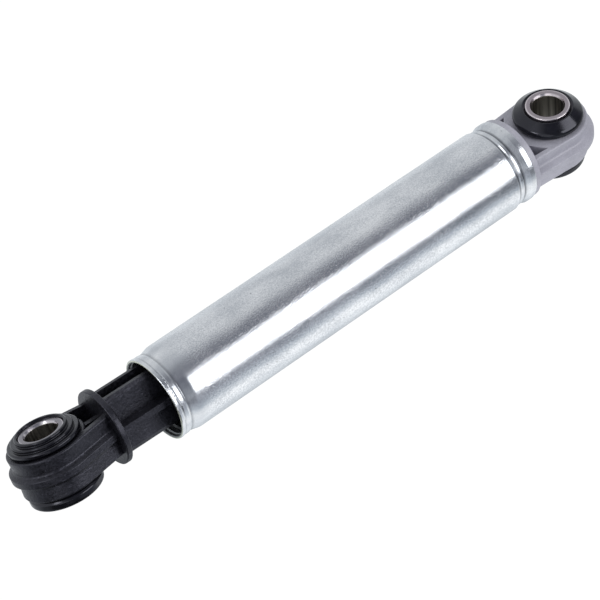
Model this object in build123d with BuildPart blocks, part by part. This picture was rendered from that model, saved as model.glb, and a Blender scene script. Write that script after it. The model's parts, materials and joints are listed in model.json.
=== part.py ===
from build123d import *
import os
from math import acos, atan2, cos, hypot, sin

# Friction damper of a washing machine: a plated steel tube with a moulded eye at its rear end,
# and a moulded plunger rod with an eye of its own that slides and turns in the tube.
# The origin is the middle of the rear eye's bore. +X runs along the damper to the rod's eye,
# and +Z is the axis of the rear bore. Sizes are in millimetres and degrees.

# Tube: a thin steel shell, rolled into the cap at the rear and necked at the mouth
tube_radius = 15.0
tube_wall = 1.0
tube_length = 150.6
tube_rear = 19.6            # from the rear bore's axis to the crimped end
collar_radius = 15.1        # the band between the crimped end and the rolled grooves
collar_length = 2.2
collar_slope = 2.3          # from the collar down into the first groove
groove_radius = 13.85
bead_radius = 14.45         # the raised ring between the two grooves
bead_width = 0.9
bead_slope = 0.65
shoulder_length = 1.0       # from the second groove up to the full tube
neck_radius = 14.05         # the crease behind the mouth
neck_shoulder = 3.6
neck_bulge = 0.3            # the soft ring between the crease and the lip
neck_length = 2.6
lip_radius = 14.5
lip_length = 1.5
roll_radius = 0.3           # rounding of the rolled corners
shoulder_rounding = 0.9
mouth_rounding = 5.0

# Bolt bores and bushes, the same sleeve in both eyes
bore_radius = 5.5           # clears an M10 bolt
sleeve_wall = 2.05
sleeve_lead_width = 0.45    # the bore's steep lead-in
sleeve_lead_depth = 0.85
sleeve_rounding = 0.25
rear_sleeve_half = 12.5
rod_sleeve_half = 10.7
seat_radius = 10.4          # the eyes' bores, which hold the rubber

# Rear bush, above the eye: a broad cone round the sleeve
cone_radius = 12.95
cone_height = 1.7           # the upright edge below the cone
cone_rise = 5.3             # from the eye's rim to the top of the rubber
cone_top_radius = 8.6
cone_rounding = 1.8

# Rod's bush, above the eye: a bulging ring, a step and a lip that stands above the sleeve
foot_width = 0.7            # how far each bush stands on the rim, beyond its seat
bulge_radius = 11.95
bulge_rise = 2.0
step_radius = 10.35
step_rise = 3.1
lip_top_radius = 8.75
lip_rise = 4.2
lip_width = 0.3             # from the sleeve out to the lip's opening
lip_depth = 1.3

# Both bushes, below their eyes: a thick rolled ring
roll_ring_radius = 12.3
roll_ring_start = 1.5
roll_ring_rise = 3.7
roll_ring_end_radius = 9.2
roll_ring_total = 4.8

# Rear eye and cap
rear_eye_half = 6.8         # half the height of the eye's rim
rear_rim_radius = 13.4
rear_waist_radius = 12.9    # the side walls' face beside the rib
rear_belt_radius = 15.45    # the rib round the middle of the eye
rear_eye_wall = 1.95        # side walls between the eye and the flange
rear_belt_fairing = 1.5     # the rib's slope back to the wall
rear_drum_radius = 14.9     # the eye's backing between the side walls
rear_drum_start = 5.0
flange_radius = 14.75       # the ring between the eye and the tube
flange_rounding = 0.45
flange_face = 17.3
rear_wall_end = 12.3        # outer face of the side walls where they meet the flange
spigot_length = 24.0        # how far the cap reaches into the tube
spigot_wall = 2.6
spigot_floor = 3.0

# Shared by both eyes
belt_half = 1.15
belt_rounding = 0.4
wall_step = 0.06            # the side walls leave the eye this far inside its face
rim_rounding = 0.6
web_half = 1.5              # the flat web between the side walls
rib_half = 1.1              # the upright rib that stands on the web
rib_height = 4.6

# Plunger rod, measured along its own axis from the middle of the piston
rod_turn = 25.0             # the rod eye's turn about the damper, from the rear bore
rod_lift = 1.03             # the rod hangs a little off the tube's axis, in the play at the mouth
rod_swing = 0.5
rod_reach = 102.7           # from the piston's middle to the rod eye's bore
rod_eye_half = 7.2
rod_rim_radius = 13.1
rod_waist_radius = 12.8
rod_belt_radius = 14.5
rod_eye_wall = 2.3
rod_belt_fairing = 0.9
rod_wall_end = 8.8          # outer face of the side walls where they meet the disc
disc_radius = 13.1
disc_thickness = 2.1
disc_rounding = 0.4
disc_to_bore = 18.4         # from the disc's outer face to the rod eye's bore
beam_half_width = 5.0       # the rod's two upright walls, over their outer faces
beam_half_height = 10.1
beam_wall = 2.2
beam_web_half = 1.05
beam_web_reach = 9.7        # the middle web stands out past both walls
beam_chamfer_width = 0.7
beam_chamfer_height = 1.3
collar_disc_radius = 10.6   # the rod's shoulder in front of the piston
collar_disc_length = 2.4
journal_radius = 7.0
head_radius = 8.3           # the snap head behind the carrier
head_length = 5.5
head_taper = 22.0
head_slot = 2.0
head_slot_depth = 14.0
head_bore_radius = 3.6

# Piston: carrier, lining and rings, level with the tube
piston_middle = 105.0
carrier_half = 15.0
carrier_radius = 13.3
end_land = 2.5              # the carrier's end flanges
inner_land = 1.5            # between a ring and the lining
ring_width = 4.0
ring_seat_radius = 12.1
ring_split = 1.6
lining_seat_radius = 10.2
lining_split = 1.0
buffer_length = 3.0
buffer_seat_radius = 9.6
buffer_radius = 13.6
buffer_rounding = 0.8

# Clearances
bush_gap = 0.05             # sleeve in rubber, which turns
seat_gap = 0.03             # rubber in its eye, rings in their grooves
spigot_gap = 0.05           # cap in the tube
slide_gap = 0.1             # rings and lining in the tube
swivel_gap = 0.45           # the rod's journal in the carrier, which lets the rod lean
swivel_end_gap = 0.55

# Sizes that follow
tube_mouth = tube_rear + tube_length
tube_bore = tube_radius - tube_wall
sleeve_radius = bore_radius + sleeve_wall
rubber_bore = sleeve_radius + bush_gap
rubber_radius = seat_radius - seat_gap
foot_radius = seat_radius + foot_width
carrier_front = carrier_half + buffer_length
lining_half = carrier_half - end_land - ring_width - inner_land
beam_start = carrier_front + swivel_end_gap
disc_start = rod_reach - disc_to_bore - disc_thickness

# The rod's own level plane turns and leans about the middle of the piston
rod_level = Plane(Location((piston_middle, 0, 0), (rod_turn, -rod_lift, -rod_swing)))
rod_eye_centre = rod_level.from_local_coords((rod_reach, 0, 0))


os.makedirs("parts", exist_ok=True)


def export(piece, name):
    """Names a finished piece and writes it."""
    piece.label = name
    export_step(piece, f"parts/{name}.step")


def across_plane(centre, level):
    """The plane across a bore's axis."""
    return Plane(origin=centre, x_dir=level.x_dir, z_dir=level.z_dir)


def upright_plane(centre, level):
    """The plane that holds a bore's axis, which is its local y."""
    return Plane(origin=centre, x_dir=level.x_dir, z_dir=-level.y_dir)


def rod_section_plane(along):
    """The plane across the rod at a distance from the piston's middle; local y is the bore's way."""
    origin = rod_level.from_local_coords((along, 0, 0))
    return Plane(origin=origin, x_dir=rod_level.y_dir, z_dir=rod_level.x_dir)


# Outline of the tube, as points along it, lowered by a wall or by a wall and a clearance
collar_end = tube_rear + collar_length
groove_one = collar_end + collar_slope
bead_start = groove_one + bead_slope
bead_end = bead_start + bead_width
groove_two = bead_end + bead_slope
barrel_start = groove_two + shoulder_length
lip_start = tube_mouth - lip_length
crease = lip_start - neck_length
barrel_end = crease - neck_shoulder


def rear_points(drop):
    """The collar, the two rolled grooves and the shoulder."""
    return [
        (tube_rear, collar_radius - drop),
        (collar_end, collar_radius - drop),
        (groove_one, groove_radius - drop),
        (bead_start, bead_radius - drop),
        (bead_end, bead_radius - drop),
        (groove_two, groove_radius - drop),
        (barrel_start, tube_radius - drop),
    ]


def mouth_points(drop):
    """The neck's shoulder, its soft ring and the lip."""
    bulge = neck_radius + neck_bulge
    return [
        (barrel_end, tube_radius - drop),
        (crease, neck_radius - drop),
        (crease + neck_length * 0.3, bulge - drop),
        (crease + neck_length * 0.75, bulge - drop),
        (lip_start, neck_radius - drop),
        (lip_start + roll_radius, lip_radius - drop),
        (tube_mouth, lip_radius - drop),
    ]


rolled = [roll_radius] * 4
rear_corners = [shoulder_rounding] + rolled + [shoulder_rounding / 2]
mouth_corners = [mouth_rounding, roll_radius] + rolled
tube_corners = rear_corners + mouth_corners

# Damper tube
with BuildPart() as damper_tube:
    with BuildSketch(Plane.XZ):
        with BuildLine():
            skin = FilletPolyline(*rear_points(0), *mouth_points(0), radius=tube_corners)
            bore_points = rear_points(tube_wall) + mouth_points(tube_wall)
            bore = FilletPolyline(*bore_points, radius=tube_corners)
            Line(skin @ 0, bore @ 0)
            Line(skin @ 1, bore @ 1)
        make_face()
    revolve(axis=Axis.X)
    rims = edges().filter_by(GeomType.CIRCLE).sort_by(Axis.X)
    fillet(rims[:2] + rims[-2:], radius=tube_wall * 0.42)
export(damper_tube.part, "damper_tube")


# Eyes: one section, turned for the eye and carried along its side walls
def eye_section(plane, half, rim, waist, belt, fairing, inner, step=0):
    """Section of an eye beside its axis: the bore's side, the rims and the rib round the middle."""
    rim, waist, belt = rim - step, waist - step, belt - step
    foot = belt_half + fairing
    corners = [rim_rounding, fairing * 0.8, belt_rounding, belt_rounding, fairing * 0.8, rim_rounding]
    with BuildSketch(plane) as section:
        with BuildLine():
            FilletPolyline(
                (inner, half),
                (rim, half),
                (waist, foot),
                (belt, belt_half),
                (belt, -belt_half),
                (waist, -foot),
                (rim, -half),
                (inner, -half),
                radius=corners,
            )
            Line((inner, -half), (inner, half))
        make_face()
    return section.sketch


def wall_plane(centre, level, toward, side, closing):
    """The plane of a side wall's section: local x points out of the wall, z along it."""
    outward = level.x_dir * (toward * sin(closing)) + level.y_dir * (side * cos(closing))
    along = level.x_dir * (toward * cos(closing)) - level.y_dir * (side * sin(closing))
    return Plane(origin=centre, x_dir=outward, z_dir=along)


# Rear eye cap
flange_thickness = tube_rear - flange_face
rear_wall_length = flange_face + flange_thickness / 2
rear_wall_reach = hypot(flange_face, rear_wall_end)
rear_closing = atan2(flange_face, rear_wall_end) - acos(rear_rim_radius / rear_wall_reach)
rear_eye_sizes = (
    rear_eye_half,
    rear_rim_radius,
    rear_waist_radius,
    rear_belt_radius,
    rear_belt_fairing,
)
with BuildPart() as rear_eye_cap:
    with BuildSketch(Plane.YZ.offset(flange_face)):
        Circle(flange_radius)
    extrude(amount=flange_thickness)
    fillet(edges().filter_by(GeomType.CIRCLE).sort_by(Axis.X)[0], radius=flange_rounding)
    upright = upright_plane((0, 0, 0), Plane.XY)
    revolve(eye_section(upright, *rear_eye_sizes, seat_radius - 1), axis=Axis.Z)
    for side in (1, -1):
        plane = wall_plane((0, 0, 0), Plane.XY, 1, side, rear_closing)
        wall = eye_section(plane, *rear_eye_sizes, rear_rim_radius - rear_eye_wall, wall_step)
        extrude(wall, amount=rear_wall_length)
    with BuildSketch(Plane.XY):
        Circle(rear_drum_radius)
        with Locations((rear_drum_start + rear_drum_radius / 2, 0)):
            Rectangle(rear_drum_radius, 2 * rear_wall_end - rear_eye_wall, mode=Mode.INTERSECT)
    extrude(amount=rear_eye_half, both=True)
    with BuildSketch(Plane.XY):
        with Locations((rear_wall_length / 2, 0)):
            Rectangle(rear_wall_length, 2 * rear_wall_end - rear_eye_wall)
    extrude(amount=web_half, both=True)
    with BuildSketch(Plane.XY):
        with Locations((rear_wall_length / 2, 0)):
            Rectangle(rear_wall_length, 2 * rib_half)
    extrude(amount=rib_height, both=True)
    with BuildSketch(Plane.XZ):
        with BuildLine():
            spigot_points = rear_points(tube_wall + spigot_gap)
            spigot_end = tube_rear + spigot_length
            spigot_radius = tube_bore - spigot_gap
            outline = FilletPolyline(
                *spigot_points, (spigot_end, spigot_radius), radius=rear_corners
            )
            Polyline(
                outline @ 1,
                (spigot_end, spigot_radius - spigot_wall),
                (tube_rear + spigot_floor, spigot_radius - spigot_wall),
                (tube_rear + spigot_floor, 0),
                (tube_rear, 0),
                outline @ 0,
            )
        make_face()
    revolve(axis=Axis.X)
    with BuildSketch(Plane.XY):
        Circle(seat_radius)
    extrude(amount=rear_eye_half, both=True, mode=Mode.SUBTRACT)
export(rear_eye_cap.part, "rear_eye_cap")


# Bush sleeves
def bush_sleeve(centre, level, half):
    """A steel sleeve for the bolt, with a steep lead-in at both ends of its bore."""
    lead_radius = bore_radius + sleeve_lead_width
    lead_end = half - sleeve_lead_depth
    with BuildPart() as sleeve:
        with BuildSketch(upright_plane(centre, level)):
            with BuildLine():
                wall = FilletPolyline(
                    (lead_radius, half),
                    (sleeve_radius, half),
                    (sleeve_radius, -half),
                    (lead_radius, -half),
                    radius=sleeve_rounding,
                )
                Polyline(wall @ 1, (bore_radius, -lead_end), (bore_radius, lead_end), wall @ 0)
            make_face()
        revolve(axis=Axis(centre, level.z_dir))
    return sleeve.part


export(bush_sleeve((0, 0, 0), Plane.XY, rear_sleeve_half), "rear_bush_sleeve")
export(bush_sleeve(rod_eye_centre, rod_level, rod_sleeve_half), "front_bush_sleeve")


# Rubber bushes, each from one outline that runs from the bore's top to the bore's bottom
def rubber_bush(centre, level, points, corners):
    """A rubber bush, turned about the bore."""
    with BuildPart() as bush:
        with BuildSketch(upright_plane(centre, level)):
            with BuildLine():
                outline = FilletPolyline(*points, radius=corners)
                Line(outline @ 1, outline @ 0)
            make_face()
        revolve(axis=Axis(centre, level.z_dir))
    return bush.part


def lower_ring(eye_half, end):
    """The rolled ring below an eye, down to the sleeve."""
    return [
        (rubber_radius, -eye_half),
        (foot_radius, -eye_half),
        (roll_ring_radius, -eye_half - roll_ring_start),
        (roll_ring_radius, -eye_half - roll_ring_rise),
        (roll_ring_end_radius, -eye_half - roll_ring_total),
        (rubber_bore, end),
    ]


lower_corners = [seat_gap, 0.3, 0.7, 1.2, 0.4]
cone_top = rear_eye_half + cone_rise
rear_bush_points = [
    (rubber_bore, cone_top - 0.7),
    (cone_top_radius, cone_top),
    (cone_radius, rear_eye_half + cone_height),
    (foot_radius, rear_eye_half),
    (rubber_radius, rear_eye_half),
]
rear_bush_corners = [0.3, cone_rounding, 0.3, seat_gap]
rear_bush_end = -rear_eye_half - roll_ring_total + 0.4
rear_bush = rubber_bush(
    (0, 0, 0),
    Plane.XY,
    rear_bush_points + lower_ring(rear_eye_half, rear_bush_end),
    rear_bush_corners + lower_corners,
)
export(rear_bush, "rear_bush_rubber")

lip_top = rod_eye_half + lip_rise
lip_opening = sleeve_radius + lip_width
rod_bush_points = [
    (rubber_bore, lip_top - lip_depth),
    (lip_opening, lip_top),
    (lip_top_radius, lip_top),
    (lip_top_radius, rod_eye_half + step_rise),
    (step_radius, rod_eye_half + step_rise),
    (step_radius, rod_eye_half + bulge_rise),
    (bulge_radius, rod_eye_half + bulge_rise),
    (bulge_radius, rod_eye_half + bulge_rise / 3),
    (foot_radius, rod_eye_half),
    (rubber_radius, rod_eye_half),
]
rod_bush_corners = [0.2, 0.4, 0.15, 0.4, 0.15, 0.55, 0.55, 0.1, seat_gap]
rod_bush = rubber_bush(
    rod_eye_centre,
    rod_level,
    rod_bush_points + lower_ring(rod_eye_half, -rod_sleeve_half),
    rod_bush_corners + lower_corners,
)
export(rod_bush, "front_bush_rubber")

# Plunger rod: eye, side walls, stop disc, beam, journal and snap head in one moulding
rod_wall_length = disc_to_bore + disc_thickness / 2
rod_wall_distance = hypot(disc_to_bore, rod_wall_end)
rod_closing = atan2(disc_to_bore, rod_wall_end) - acos(rod_rim_radius / rod_wall_distance)
rod_wall_run = (rod_wall_length - rod_rim_radius * sin(rod_closing)) / cos(rod_closing)
rod_eye_sizes = (rod_eye_half, rod_rim_radius, rod_waist_radius, rod_belt_radius, rod_belt_fairing)

with BuildPart() as plunger_rod:
    with BuildSketch(rod_section_plane(disc_start)):
        Circle(disc_radius)
    extrude(amount=disc_thickness)
    fillet(edges().filter_by(GeomType.CIRCLE), radius=disc_rounding)
    upright = upright_plane(rod_eye_centre, rod_level)
    eye_axis = Axis(rod_eye_centre, rod_level.z_dir)
    revolve(eye_section(upright, *rod_eye_sizes, seat_radius - 1), axis=eye_axis)
    for side in (1, -1):
        plane = wall_plane(rod_eye_centre, rod_level, -1, side, rod_closing)
        wall = eye_section(plane, *rod_eye_sizes, rod_rim_radius - rod_eye_wall, wall_step)
        extrude(wall, amount=rod_wall_run)
    with BuildSketch(rod_level):
        with Locations((rod_reach - rod_wall_length / 2, 0)):
            Rectangle(rod_wall_length, 2 * rod_wall_end - rod_eye_wall)
    extrude(amount=web_half, both=True)
    with BuildSketch(rod_level):
        with Locations((rod_reach - rod_wall_length / 2, 0)):
            Rectangle(rod_wall_length, 2 * rib_half)
    extrude(amount=rib_height, both=True)
    with BuildSketch(rod_section_plane(beam_start)):
        with BuildLine():
            Polyline(
                (beam_half_width - beam_wall, beam_half_height),
                (beam_half_width - beam_chamfer_width, beam_half_height),
                (beam_half_width, beam_half_height - beam_chamfer_height),
                (beam_half_width, -beam_half_height + beam_chamfer_height),
                (beam_half_width - beam_chamfer_width, -beam_half_height),
                (beam_half_width - beam_wall, -beam_half_height),
                close=True,
            )
        make_face()
        mirror(about=Plane.YZ)
        Rectangle(2 * beam_web_reach, 2 * beam_web_half)
    extrude(amount=disc_start - beam_start)
    with BuildSketch(rod_section_plane(beam_start)):
        Circle(collar_disc_radius)
    extrude(amount=collar_disc_length)
    with BuildSketch(rod_section_plane(-carrier_half - swivel_end_gap)):
        Circle(journal_radius)
    extrude(amount=beam_start + carrier_half + swivel_end_gap)
    with BuildSketch(rod_section_plane(-carrier_half - swivel_end_gap)):
        Circle(head_radius)
    extrude(amount=-head_length, taper=head_taper)
    with BuildSketch(rod_section_plane(-carrier_half - swivel_end_gap - head_length)):
        Circle(head_bore_radius)
        Rectangle(2 * head_radius, head_slot)
        Rectangle(head_slot, 2 * head_radius)
    extrude(amount=head_slot_depth, mode=Mode.SUBTRACT)
    with BuildSketch(across_plane(rod_eye_centre, rod_level)):
        Circle(seat_radius)
    extrude(amount=rod_eye_half, both=True, mode=Mode.SUBTRACT)
export(plunger_rod.part, "plunger_rod")


# Piston: a carrier with grooves, split rings and a lining on it, and a buffer on its front hub
def piston_plane(along):
    """The plane across the tube at a distance from the piston's middle."""
    return Plane.YZ.offset(piston_middle + along)


with BuildPart() as piston_carrier:
    with BuildSketch(piston_plane(-carrier_half)):
        Circle(carrier_radius)
    extrude(amount=2 * carrier_half)
    with BuildSketch(piston_plane(carrier_half)):
        Circle(buffer_seat_radius)
    extrude(amount=buffer_length)
    with BuildSketch(piston_plane(-lining_half)):
        Circle(carrier_radius)
        Circle(lining_seat_radius, mode=Mode.SUBTRACT)
    extrude(amount=2 * lining_half, mode=Mode.SUBTRACT)
    for start in (-carrier_half + end_land, carrier_half - end_land - ring_width):
        with BuildSketch(piston_plane(start)):
            Circle(carrier_radius)
            Circle(ring_seat_radius, mode=Mode.SUBTRACT)
        extrude(amount=ring_width, mode=Mode.SUBTRACT)
    with BuildSketch(piston_plane(-carrier_half)):
        Circle(journal_radius + swivel_gap)
    extrude(amount=2 * carrier_half + buffer_length, mode=Mode.SUBTRACT)
    chamfer(edges().filter_by(GeomType.CIRCLE).sort_by(Axis.X)[:2], length=0.5)
export(piston_carrier.part, "piston_carrier")


def piston_ring(start, width, seat, split):
    """A split ring from its seat on the carrier to its running fit in the tube."""
    with BuildPart() as ring:
        with BuildSketch(piston_plane(start)):
            Circle(tube_bore - slide_gap)
            Circle(seat + seat_gap, mode=Mode.SUBTRACT)
            with Locations((0, tube_bore / 2 + seat / 2)):
                Rectangle(split, tube_bore, mode=Mode.SUBTRACT)
        extrude(amount=width)
    return ring.part


front_ring_start = carrier_half - end_land - ring_width
front_ring = piston_ring(front_ring_start, ring_width, ring_seat_radius, ring_split)
export(front_ring, "front_guide_ring")
rear_ring = piston_ring(-carrier_half + end_land, ring_width, ring_seat_radius, ring_split)
export(rear_ring, "rear_guide_ring")
lining = piston_ring(-lining_half, 2 * lining_half, lining_seat_radius, lining_split)
export(lining, "friction_lining")

with BuildPart() as extension_buffer:
    with BuildSketch(piston_plane(carrier_half)):
        Circle(buffer_radius)
        Circle(buffer_seat_radius + seat_gap, mode=Mode.SUBTRACT)
    extrude(amount=buffer_length)
    fillet(edges().filter_by(GeomType.CIRCLE).sort_by(Axis.X)[-1:], radius=buffer_rounding)
export(extension_buffer.part, "extension_buffer")
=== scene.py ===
import json
import math
import bpy
from mathutils import Euler, Matrix, Vector


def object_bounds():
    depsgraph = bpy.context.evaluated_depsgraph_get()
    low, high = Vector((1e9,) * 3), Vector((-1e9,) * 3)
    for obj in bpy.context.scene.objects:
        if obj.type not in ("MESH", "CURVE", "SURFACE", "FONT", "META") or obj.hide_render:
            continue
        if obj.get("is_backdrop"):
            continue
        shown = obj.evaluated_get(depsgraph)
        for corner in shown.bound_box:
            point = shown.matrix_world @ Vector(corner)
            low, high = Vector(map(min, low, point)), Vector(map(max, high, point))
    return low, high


# Friction damper of a washing machine, dressed for the render. Metres, in the frame of the model:
# the origin is the middle of the rear eye's bore, +X runs to the rod's eye, +Z is the rear bore.
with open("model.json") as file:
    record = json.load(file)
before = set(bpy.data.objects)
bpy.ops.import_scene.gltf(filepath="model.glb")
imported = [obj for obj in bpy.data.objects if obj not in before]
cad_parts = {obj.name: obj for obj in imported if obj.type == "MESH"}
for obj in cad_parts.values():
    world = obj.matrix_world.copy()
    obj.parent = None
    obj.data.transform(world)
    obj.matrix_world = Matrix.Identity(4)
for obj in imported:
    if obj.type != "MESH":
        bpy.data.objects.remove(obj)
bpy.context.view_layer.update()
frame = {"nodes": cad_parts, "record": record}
MM = 0.001

# Bolt sleeves: the radii of the bore, of the edge where it turns into the face, and of the face,
# the size of the streaks in the bore, and the roughness of the bore and of the face
BORE_MM = 5.5
SLEEVE_MM = 7.55
BORE_EDGE_MM = (BORE_MM, BORE_MM + 0.12)
FACE_MM = (BORE_MM, SLEEVE_MM)
STREAK_MM = 0.9
BORE_TO_FACE_ROUGHNESS = (0.34, 0.2)

# Tube: the places along it where its rear rolled end stops and the one at its mouth starts, and the
# radii between which the painted shade in a crease fades out
REAR_ROLLED_MM = (27.5, 29.5)
MOUTH_ROLLED_MM = (157.0, 162.0)
CREASE_MM = (13.88, 14.25)

# How far a face points to the mouth, as a share, where the painted highlight of the cut edge begins
# and is full, and how far outwards, in metres of radius, where the inside, which has painted shade,
# ends
CUT_EDGE_HIGHLIGHT_FACING = (0.7, 0.85)
INSIDE_FACING = (-0.002, 0.0)

# Zinc plate. Its peel is drawn as coarse as it needs to show, and each pair of values for the peel is
# for the plain tube and for its rolled ends.
PEEL_MM = 0.42
PEEL_DEPTH_MM = 0.075
PEEL_SHARE = (0.5, 0.15)
PEEL_STRENGTH = (1.0, 0.2)
SPECK_MM = 1.1
CLOUD_MM = 7.0
# How strongly shade is painted into the creases
CREASE_SHADE_SHARE = 0.8
PLATE_ROUGHNESS = (0.14, 0.19)
BURNISHED_SOFTER = 0.08
INSIDE_ROUGHNESS = 0.5

# Mouldings: flow clouds and scuffs of the plastics, bloom and skin of the rubber, cells of the foam
FLOW_MM = 5.0
SCUFF_MM = 1.0
SCUFFED = (0.62, 0.72)
BLOOM_MM = 3.0
RUBBER_SKIN_MM = 0.4
RUBBER_DEPTH_MM = 0.008
RUBBER_ROUGHNESS = (0.12, 0.2)
CELL_MM = 0.8
CELL_DEPTH_MM = 0.15

# Camera, at the place, angle and lens that the photograph was taken from. Degrees: the azimuth
# counts from +X towards +Y, and the roll turns the picture.
CAMERA_PLACE = (0.4073, 0.4399, 0.5515)
CAMERA_AZIMUTH = 55.9931
CAMERA_ELEVATION = 46.0817
CAMERA_ROLL = -8.2406
LENS_MM = 142.8
SENSOR_MM = 36.0

# Light table under the damper. Its tones run across the damper, from behind its axis to in front
# of it, with a painted shadow of the damper in its glow just in front of the axis, and in front they
# are darker at both ends of the damper. The ranges are in metres.
TABLE_ACROSS = (-0.03, 0.15)
TABLE_TONES = (
    (0.11, "#D2D6D9"),
    # Painted shadow of the damper in the table's glow
    (0.195, "#9DA2A7"),
    (0.225, "#C2C7CB"),
    (0.255, "#E0E4E7"),
    (0.285, "#F5F7F8"),
    (0.34, "#F8F9F9"),
    (0.38, "#D8DDE2"),
    (0.43, "#BEC4CA"),
    (0.51, "#AFB4BB"),
    (0.64, "#8F949C"),
    (1.0, "#9C9FA8"),
)
TABLE_ALONG = (-0.05, 0.25)
TABLE_END_TONES = ((0.05, "#A8A8A8"), (0.23, "#FFFFFF"), (0.74, "#FFFFFF"), (0.84, "#585858"))
TABLE_FRONT = (0.0, 0.02)
TABLE_REACH = 3.0
TABLE_GLOW = 1.25

# What the camera sees of the floor: the strength of its white, and the share of that white beside
# the matt floor that takes the shadow
FLOOR_WHITE = 1.06
FLOOR_GLOW_SHARE = 0.95

# Room around the damper's axis, from the front horizon over the top to the back horizon, and its
# brighter end beyond the rod's eye, with the X of the directions where that end begins and is full
ROOM_TONES = (
    (0.0, "#AEB1B8"),
    (0.1, "#8C9098"),
    (0.3, "#7A7C86"),
    (0.42, "#8C8E96"),
    (0.48, "#A9ABB0"),
    (0.55, "#CFD1D4"),
    (0.63, "#DFE1E3"),
    (1.0, "#DDE0E3"),
)
ROOM_END = (0.42, 0.6)
ROOM_END_TONE = "#E6E8EB"
DAMPER_MIDDLE = (0.1, 0, 0)

# Ranges and settings that several nodes share. A noise stays mostly inside NOISE_SPREAD.
NOISE_SPREAD = (0.3, 0.7)
NONE_TO_ALL = (0.0, 1.0)
ALL_TO_NONE = (1.0, 0.0)
COLOUR = {"data_type": "RGBA"}
COLOUR_MULTIPLY = {"data_type": "RGBA", "blend_type": "MULTIPLY"}


# Helpers
def metres(range_mm):
    """A range of millimetres in metres."""
    return tuple(edge * MM for edge in range_mm)


def per_metre(size_mm):
    """The scale of a noise whose blotches are about size_mm across."""
    return 1 / (size_mm * MM)


def linear(hex_colour):
    """An sRGB hex colour as linear red, green, blue and alpha."""
    channels = [int(hex_colour[i:i + 2], 16) / 255 for i in (1, 3, 5)]
    straight = [c / 12.92 if c <= 0.04045 else ((c + 0.055) / 1.055) ** 2.4 for c in channels]
    return (*straight, 1.0)


def node(tree, kind, settings=None, inputs=None, stops=()):
    """Adds a shader node with its settings. Its inputs, by name or in their order, are numbers, hex
    colours, sockets, or nodes whose first output in use is taken. Stops are a ramp's places and
    colours. A MapRange node's inputs in order are its value, its old range and its new range."""
    added = tree.nodes.new("ShaderNode" + kind)
    for name, value in (settings or {}).items():
        setattr(added, name, value)
    named = inputs if isinstance(inputs, dict) else dict(enumerate(inputs or ()))
    for name, value in named.items():
        if isinstance(value, bpy.types.Node):
            value = next(output for output in value.outputs if output.enabled)
        if isinstance(value, bpy.types.NodeSocket):
            tree.links.new(value, added.inputs[name])
        else:
            added.inputs[name].default_value = linear(value) if isinstance(value, str) else value
    for _ in stops[2:]:
        added.color_ramp.elements.new(0.5)
    if stops:
        for element, (position, colour) in zip(added.color_ramp.elements, stops):
            element.position = position
            element.color = linear(colour)
    return added


def new_material(name):
    """An empty material, its node tree and the object coordinates."""
    material = bpy.data.materials.new(name)
    material.use_nodes = True
    tree = material.node_tree
    tree.nodes.clear()
    return material, tree, node(tree, "TexCoord").outputs["Object"]


def surface(tree, inputs):
    """Ends a material's nodes with its shader and output."""
    shader = node(tree, "BsdfPrincipled", inputs=inputs)
    node(tree, "OutputMaterial", inputs={"Surface": shader})


def place_camera():
    """Sets up the camera, which looks along its own -Z."""
    data = bpy.data.cameras.new("camera")
    data.lens = LENS_MM
    data.sensor_width = SENSOR_MM
    data.clip_start = 0.01
    camera = bpy.data.objects.new("camera", data)
    tilt = math.radians(90 - CAMERA_ELEVATION)
    heading = math.radians(90 + CAMERA_AZIMUTH)
    level = Euler((tilt, 0, heading)).to_matrix().to_4x4()
    roll = Matrix.Rotation(math.radians(CAMERA_ROLL), 4, "Z")
    camera.matrix_world = Matrix.Translation(CAMERA_PLACE) @ level @ roll
    bpy.context.scene.collection.objects.link(camera)
    bpy.context.scene.camera = camera


# Materials
def rolled_ends(tree, place):
    """All on the tube's two rolled ends and none between them, by the place along the tube."""
    along = node(tree, "SeparateXYZ", inputs={"Vector": place}).outputs["X"]
    rear = node(tree, "MapRange", inputs=(along, *metres(REAR_ROLLED_MM), *ALL_TO_NONE))
    mouth = node(tree, "MapRange", inputs=(along, *metres(MOUTH_ROLLED_MM), *NONE_TO_ALL))
    return node(tree, "Math", {"operation": "ADD"}, (rear, mouth))


def tube_faces(tree, place):
    """Where shade is painted into the tube's creases, by their distance from its axis, and where a
    highlight is painted on its cut edge and shade on its inside, by the way they face: each a share
    from none to all."""
    normal = node(tree, "NewGeometry").outputs["Normal"]
    outward = node(tree, "VectorMath", {"operation": "MULTIPLY"}, (place, (0, 1, 1)))
    radius = node(tree, "VectorMath", {"operation": "LENGTH"}, (outward,))
    facing_out = node(tree, "VectorMath", {"operation": "DOT_PRODUCT"}, (outward, normal))
    facing_mouth = node(tree, "SeparateXYZ", inputs={"Vector": normal}).outputs["X"]
    crease = node(tree, "MapRange", inputs=(radius, *metres(CREASE_MM), *ALL_TO_NONE))
    cut_edge_highlight = node(tree, "MapRange", inputs=(facing_mouth, *CUT_EDGE_HIGHLIGHT_FACING, *NONE_TO_ALL))
    inside = node(tree, "MapRange", inputs=(facing_out, *INSIDE_FACING, *ALL_TO_NONE))
    return crease, cut_edge_highlight, inside


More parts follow.
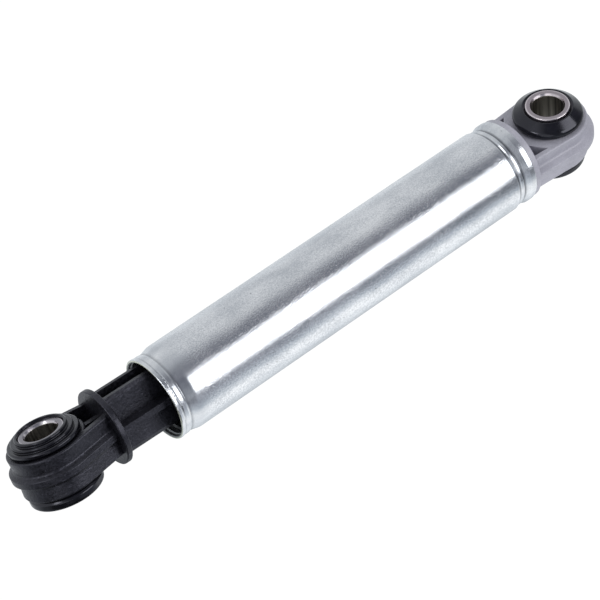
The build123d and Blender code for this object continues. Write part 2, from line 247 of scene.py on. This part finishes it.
def bright_zinc():
    """Bright zinc plate on drawn steel tube: nearly a mirror, whose fine orange peel breaks up each
    edge of a reflection into grains, with cloudy passivation and a few small dark specks. Rollers
    have burnished the peel off the two rolled ends. Shade is painted into their creases, a painted
    highlight makes the cut edge at the mouth pale, and the inside of the tube is dull and darkened
    with painted shade."""
    material, tree, place = new_material("bright_zinc_plate_on_drawn_steel")
    burnished = rolled_ends(tree, place)
    crease, cut_edge_highlight, inside = tube_faces(tree, place)

    # Peel, specks, and clouds that are 2.5 times as long as wide
    peel = node(
        tree,
        "TexNoise",
        inputs={"Vector": place, "Scale": per_metre(PEEL_MM), "Detail": 1.5},
    )
    speck = node(
        tree,
        "TexNoise",
        inputs={"Vector": place, "Scale": per_metre(SPECK_MM), "Detail": 1.0},
    )
    drawn = node(tree, "Mapping", inputs={"Vector": place, "Scale": (1 / 2.5, 1, 1)})
    cloud = node(
        tree,
        "TexNoise",
        inputs={"Vector": drawn, "Scale": per_metre(CLOUD_MM), "Detail": 4.0},
    )

    # Colour: the plate, then painted shade in the creases, a painted highlight on the cut edge and
    # painted shade on the inside over it
    peel_share = node(tree, "MapRange", inputs=(burnished, *NONE_TO_ALL, *PEEL_SHARE))
    mottle = node(tree, "Mix", inputs={"Factor": peel_share, "A": cloud, "B": peel})
    tone = node(tree, "ValToRGB", inputs=[mottle], stops=((0.38, "#C0C4CA"), (0.62, "#E9EBEE")))
    specks = node(tree, "ValToRGB", inputs=[speck], stops=((0.2, "#6E7076"), (0.215, "#FFFFFF")))
    plate = node(tree, "Mix", COLOUR_MULTIPLY, {"Factor": 1.0, "A": tone, "B": specks})
    # Painted shade: the creases are darkened, standing in for the shade that falls in them
    crease_shade = node(tree, "Math", {"operation": "MULTIPLY"}, (crease, CREASE_SHADE_SHARE))
    crease_shaded = node(tree, "Mix", COLOUR, {"Factor": crease_shade, "A": plate, "B": "#4E5157"})
    # Painted highlight: faces that point to the mouth are paled, for the bright rim of the cut edge
    edge_highlighted = node(tree, "Mix", COLOUR, {"Factor": cut_edge_highlight, "A": crease_shaded, "B": "#D5D8C6"})
    # Painted shade: the inside of the tube is darkened
    colour = node(tree, "Mix", COLOUR, {"Factor": inside, "A": edge_highlighted, "B": "#8B8E90"})

    # Gloss: it varies with the clouds, and is a little softer on the burnished ends
    cloudy = node(tree, "MapRange", inputs=(cloud, *NOISE_SPREAD, *PLATE_ROUGHNESS))
    softer = node(tree, "MapRange", inputs=(burnished, *NONE_TO_ALL, 0.0, BURNISHED_SOFTER))
    gloss = node(tree, "Math", {"operation": "ADD"}, (cloudy, softer))
    roughness = node(tree, "Mix", inputs={"Factor": inside, "A": gloss, "B": INSIDE_ROUGHNESS})
    relief = node(tree, "MapRange", inputs=(burnished, *NONE_TO_ALL, *PEEL_STRENGTH))
    bump = node(
        tree,
        "Bump",
        inputs={"Height": peel, "Distance": PEEL_DEPTH_MM * MM, "Strength": relief},
    )
    surface(tree, {"Base Color": colour, "Metallic": 1.0, "Roughness": roughness, "Normal": bump})
    return material


def moulded_plastic(name, dark, light, roughness, grain_mm, depth_mm, shine="#FFFFFF", scuff=None):
    """Injection-moulded plastic: slight flow clouds between two tones, a fine grain from the mould,
    and where it has been handled a few scuffs of their own colour, three times as long as wide."""
    material, tree, place = new_material(name)
    flow = node(
        tree,
        "TexNoise",
        inputs={"Vector": place, "Scale": per_metre(FLOW_MM), "Detail": 3.0},
    )
    fine = node(
        tree,
        "TexNoise",
        inputs={"Vector": place, "Scale": per_metre(grain_mm), "Detail": 2.0},
    )
    mottle = node(tree, "Mix", inputs={"Factor": 0.6, "A": flow, "B": fine})
    colour = node(tree, "ValToRGB", inputs=[mottle], stops=((0.36, dark), (0.64, light)))
    if scuff:
        rubbed = node(tree, "Mapping", inputs={"Vector": place, "Scale": (1 / 3, 1, 1)})
        marks = node(
            tree,
            "TexNoise",
            inputs={"Vector": rubbed, "Scale": per_metre(SCUFF_MM), "Detail": 4.0},
        )
        scuffed = node(tree, "MapRange", inputs=(marks, *SCUFFED, *NONE_TO_ALL))
        colour = node(tree, "Mix", COLOUR, {"Factor": scuffed, "A": colour, "B": scuff})
    satin = node(tree, "MapRange", inputs=(fine, *NOISE_SPREAD, roughness - 0.05, roughness + 0.06))
    bump = node(tree, "Bump", inputs={"Height": fine, "Distance": depth_mm * MM, "Strength": 0.6})
    surface(
        tree,
        {
            "Base Color": colour,
            "Roughness": satin,
            "IOR": 1.53,
            "Specular Tint": shine,
            "Normal": bump,
        },
    )
    return material


def moulded_rubber():
    """Black natural rubber from a polished mould: deep black and glossy, with a little bloom."""
    material, tree, place = new_material("black_natural_rubber")
    bloom = node(
        tree,
        "TexNoise",
        inputs={"Vector": place, "Scale": per_metre(BLOOM_MM), "Detail": 3.0},
    )
    fine = node(
        tree,
        "TexNoise",
        inputs={"Vector": place, "Scale": per_metre(RUBBER_SKIN_MM), "Detail": 2.0},
    )
    colour = node(tree, "ValToRGB", inputs=[bloom], stops=((0.35, "#050508"), (0.7, "#0E0E14")))
    gloss = node(tree, "MapRange", inputs=(bloom, *NOISE_SPREAD, *RUBBER_ROUGHNESS))
    bump = node(
        tree,
        "Bump",
        inputs={"Height": fine, "Distance": RUBBER_DEPTH_MM * MM, "Strength": 0.5},
    )
    surface(
        tree,
        {
            "Base Color": colour,
            "Roughness": gloss,
            "IOR": 1.52,
            "Specular Tint": "#EEEFFF",
            "Normal": bump,
        },
    )
    return material


def turned_steel(name, centre, axis, edge, middle):
    """Zinc-plated steel tube, faced at the ends: the face is dull, with painted highlights that make
    its two edges brighter, and the bore is dull and painted darker and browner, with streaks drawn
    out 40 times along it, as painted shade and painted reflections."""
    material, tree, place = new_material(name)
    turn = Vector(axis).rotation_difference(Vector((0, 0, 1))).to_matrix()
    offset = -(turn @ Vector(centre))
    upright = node(
        tree,
        "Mapping",
        inputs={"Vector": place, "Rotation": tuple(turn.to_euler()), "Location": tuple(offset)},
    )
    across = node(tree, "VectorMath", {"operation": "MULTIPLY"}, (upright, (1, 1, 0)))
    radius = node(tree, "VectorMath", {"operation": "LENGTH"}, (across,))
    outside = node(tree, "MapRange", inputs=(radius, *metres(BORE_EDGE_MM), *NONE_TO_ALL))
    over_face = node(tree, "MapRange", inputs=(radius, *metres(FACE_MM), *NONE_TO_ALL))
    # Painted highlights: the face's inner and outer edges are brighter than its middle
    stops = ((0.1, edge), (0.28, middle), (0.72, middle), (0.9, edge))
    face = node(tree, "ValToRGB", inputs=[over_face], stops=stops)
    drawn = node(tree, "Mapping", inputs={"Vector": upright, "Scale": (1, 1, 1 / 40)})
    streaks = node(
        tree,
        "TexNoise",
        inputs={"Vector": drawn, "Scale": per_metre(STREAK_MM), "Detail": 3.0},
    )
    # Painted shade and painted reflections: the bore is darker and browner, with streaks along it
    bore = node(tree, "ValToRGB", inputs=[streaks], stops=((0.35, "#6E6B67"), (0.65, "#C2BEB6")))
    colour = node(tree, "Mix", COLOUR, {"Factor": outside, "A": bore, "B": face})
    roughness = node(tree, "MapRange", inputs=(outside, *NONE_TO_ALL, *BORE_TO_FACE_ROUGHNESS))
    surface(tree, {"Base Color": colour, "Metallic": 1.0, "Roughness": roughness})
    return material


def greased_foam():
    """Open polyurethane foam soaked in grease, which lines the piston: yellow and pitted."""
    material, tree, place = new_material("greased_polyurethane_foam")
    cells = node(
        tree,
        "TexNoise",
        inputs={"Vector": place, "Scale": per_metre(CELL_MM), "Detail": 2.0},
    )
    colour = node(tree, "ValToRGB", inputs=[cells], stops=((0.35, "#8C7433"), (0.65, "#C7AC5C")))
    bump = node(
        tree,
        "Bump",
        inputs={"Height": cells, "Distance": CELL_DEPTH_MM * MM, "Strength": 0.8},
    )
    surface(tree, {"Base Color": colour, "Roughness": 0.45, "Normal": bump})
    return material


def dress(name, material):
    """Puts one material on a CAD node."""
    mesh = frame["nodes"][name].data
    mesh.materials.clear()
    mesh.materials.append(material)


# Grey glass-filled polyamide: satin, with flow clouds and hardly any grain
grey_polyamide = moulded_plastic(
    "grey_glass_filled_polyamide",
    dark="#9F9EA8",
    light="#AFAEB8",
    roughness=0.36,
    grain_mm=0.5,
    depth_mm=0.02,
)
# Black glass-filled polyamide: fibres roughen its skin, which has a bluish shine and grey scuffs.
# Its grain is drawn coarser than the real one, which is too fine to show.
black_polyamide = moulded_plastic(
    "black_glass_filled_polyamide",
    dark="#030305",
    light="#202026",
    roughness=0.38,
    grain_mm=0.9,
    depth_mm=0.18,
    shine="#EAEBFF",
    scuff="#3C3C44",
)
# Natural acetal: off-white, smooth and waxy
acetal = moulded_plastic(
    "natural_acetal",
    dark="#C9C5B8",
    light="#D8D4C8",
    roughness=0.35,
    grain_mm=0.6,
    depth_mm=0.01,
)
# Filled PTFE: dark grey, smooth and dull
filled_ptfe = moulded_plastic(
    "grey_filled_ptfe",
    dark="#45484C",
    light="#54575B",
    roughness=0.4,
    grain_mm=0.6,
    depth_mm=0.01,
)
rubber = moulded_rubber()
front_mount = next(m for m in frame["record"]["mounts"] if m["name"] == "front_eye")
rear_steel = turned_steel(
    "turned_steel_rear",
    centre=(0, 0, 0),
    axis=(0, 0, 1),
    edge="#DAD2D6",
    middle="#9C949A",
)
front_steel = turned_steel(
    "turned_steel_front",
    centre=front_mount["pos_m"],
    axis=front_mount["axis"],
    edge="#CFCACF",
    middle="#8A868C",
)
dress("damper_tube", bright_zinc())
dress("rear_eye_cap", grey_polyamide)
dress("plunger_rod", black_polyamide)
dress("rear_bush_rubber", rubber)
dress("front_bush_rubber", rubber)
dress("rear_bush_sleeve", rear_steel)
dress("front_bush_sleeve", front_steel)
dress("piston_carrier", acetal)
dress("front_guide_ring", filled_ptfe)
dress("rear_guide_ring", filled_ptfe)
dress("friction_lining", greased_foam())
dress("extension_buffer", rubber)


# Stage: a pale floor, a white room and three soft boxes
def floor():
    """A pale light table under the damper, white to the camera, which keeps a faint shadow. To the
    damper it glows in its own tones, with a painted shadow just under it, and these fall off at the
    ends."""
    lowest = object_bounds()[0][2]
    corners = [(-1, -1), (1, -1), (1, 1), (-1, 1)]
    places = [(x * TABLE_REACH, y * TABLE_REACH, lowest) for x, y in corners]
    mesh = bpy.data.meshes.new("floor")
    mesh.from_pydata(places, [], [(0, 1, 2, 3)])
    ground = bpy.data.objects.new("floor", mesh)
    bpy.context.scene.collection.objects.link(ground)
    material, tree, place = new_material("pale_floor")
    parts = node(tree, "SeparateXYZ", inputs={"Vector": place})
    x, y = parts.outputs["X"], parts.outputs["Y"]
    across = node(tree, "MapRange", inputs=(y, *TABLE_ACROSS, *NONE_TO_ALL))
    along = node(tree, "MapRange", inputs=(x, *TABLE_ALONG, *NONE_TO_ALL))
    in_front = node(tree, "MapRange", inputs=(y, *TABLE_FRONT, *NONE_TO_ALL))
    tones = node(tree, "ValToRGB", inputs=[across], stops=TABLE_TONES)
    ends = node(tree, "ValToRGB", inputs=[along], stops=TABLE_END_TONES)
    fading = node(tree, "Mix", COLOUR_MULTIPLY, {"Factor": in_front, "A": tones, "B": ends})
    table = node(tree, "Emission", inputs={"Color": fading, "Strength": TABLE_GLOW})
    pale = node(tree, "BsdfDiffuse", inputs={"Color": "#EFEFF0"})
    white = node(tree, "Emission", inputs={"Color": "#FFFFFF", "Strength": FLOOR_WHITE})
    seen = node(tree, "MixShader", inputs=(FLOOR_GLOW_SHARE, pale, white))
    to_camera = node(tree, "LightPath").outputs["Is Camera Ray"]
    mixed = node(tree, "MixShader", inputs=(to_camera, table, seen))
    node(tree, "OutputMaterial", inputs={"Surface": mixed})
    mesh.materials.append(material)
    ground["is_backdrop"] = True


def room():
    """A room that is white to the camera and grey to the damper: darker in front and overhead,
    lighter behind and at the rod's end."""
    world = bpy.data.worlds.new("room")
    bpy.context.scene.world = world
    world.use_nodes = True
    tree = world.node_tree
    tree.nodes.clear()
    direction = node(tree, "TexCoord").outputs["Generated"]
    parts = node(tree, "SeparateXYZ", inputs={"Vector": direction})
    x, y, z = parts.outputs["X"], parts.outputs["Y"], parts.outputs["Z"]
    angle = node(tree, "Math", {"operation": "ARCTAN2"}, (z, y))
    around = node(tree, "MapRange", inputs=(angle, 0.0, math.pi, *NONE_TO_ALL))
    walls = node(tree, "ValToRGB", inputs=[around], stops=ROOM_TONES)
    at_end = node(tree, "MapRange", inputs=(x, *ROOM_END, *NONE_TO_ALL))
    grey = node(tree, "Mix", COLOUR, {"Factor": at_end, "A": walls, "B": ROOM_END_TONE})
    to_camera = node(tree, "LightPath").outputs["Is Camera Ray"]
    seen = node(tree, "Mix", COLOUR, {"Factor": to_camera, "A": grey, "B": "#FFFFFF"})
    light = node(tree, "Background", inputs={"Color": seen, "Strength": 1.0})
    node(tree, "OutputWorld", inputs={"Surface": light})


def soft_box(name, direction, distance, width, height, power):
    """A rectangular lamp that faces the damper's middle from a direction. Metres and watts."""
    data = bpy.data.lights.new(name, "AREA")
    data.shape = "RECTANGLE"
    data.size = width
    data.size_y = height
    data.energy = power
    lamp = bpy.data.objects.new(name, data)
    toward = Vector(direction).normalized()
    up = toward.cross(Vector((1, 0, 0))).normalized()
    side = up.cross(toward).normalized()
    turn = Matrix((side, up, toward)).transposed().to_4x4()
    lamp.matrix_world = Matrix.Translation(Vector(DAMPER_MIDDLE) + toward * distance) @ turn
    bpy.context.scene.collection.objects.link(lamp)


place_camera()
floor()
room()
# The main light, whose reflection is the tube's bright band, and two weak ones that lift the rod's
# end and the sleeves
soft_box("long_soft_box", (-0.46, 0.76, 0.46), distance=1.15, width=0.95, height=0.8, power=7.5)
soft_box("fill_box", (0.68, 0.72, 0.12), distance=1.1, width=0.8, height=0.4, power=0.6)
soft_box("side_box", (0.76, 0.0, 0.65), distance=1.1, width=0.35, height=0.35, power=1.5)
bpy.context.scene.view_settings.view_transform = "Standard"
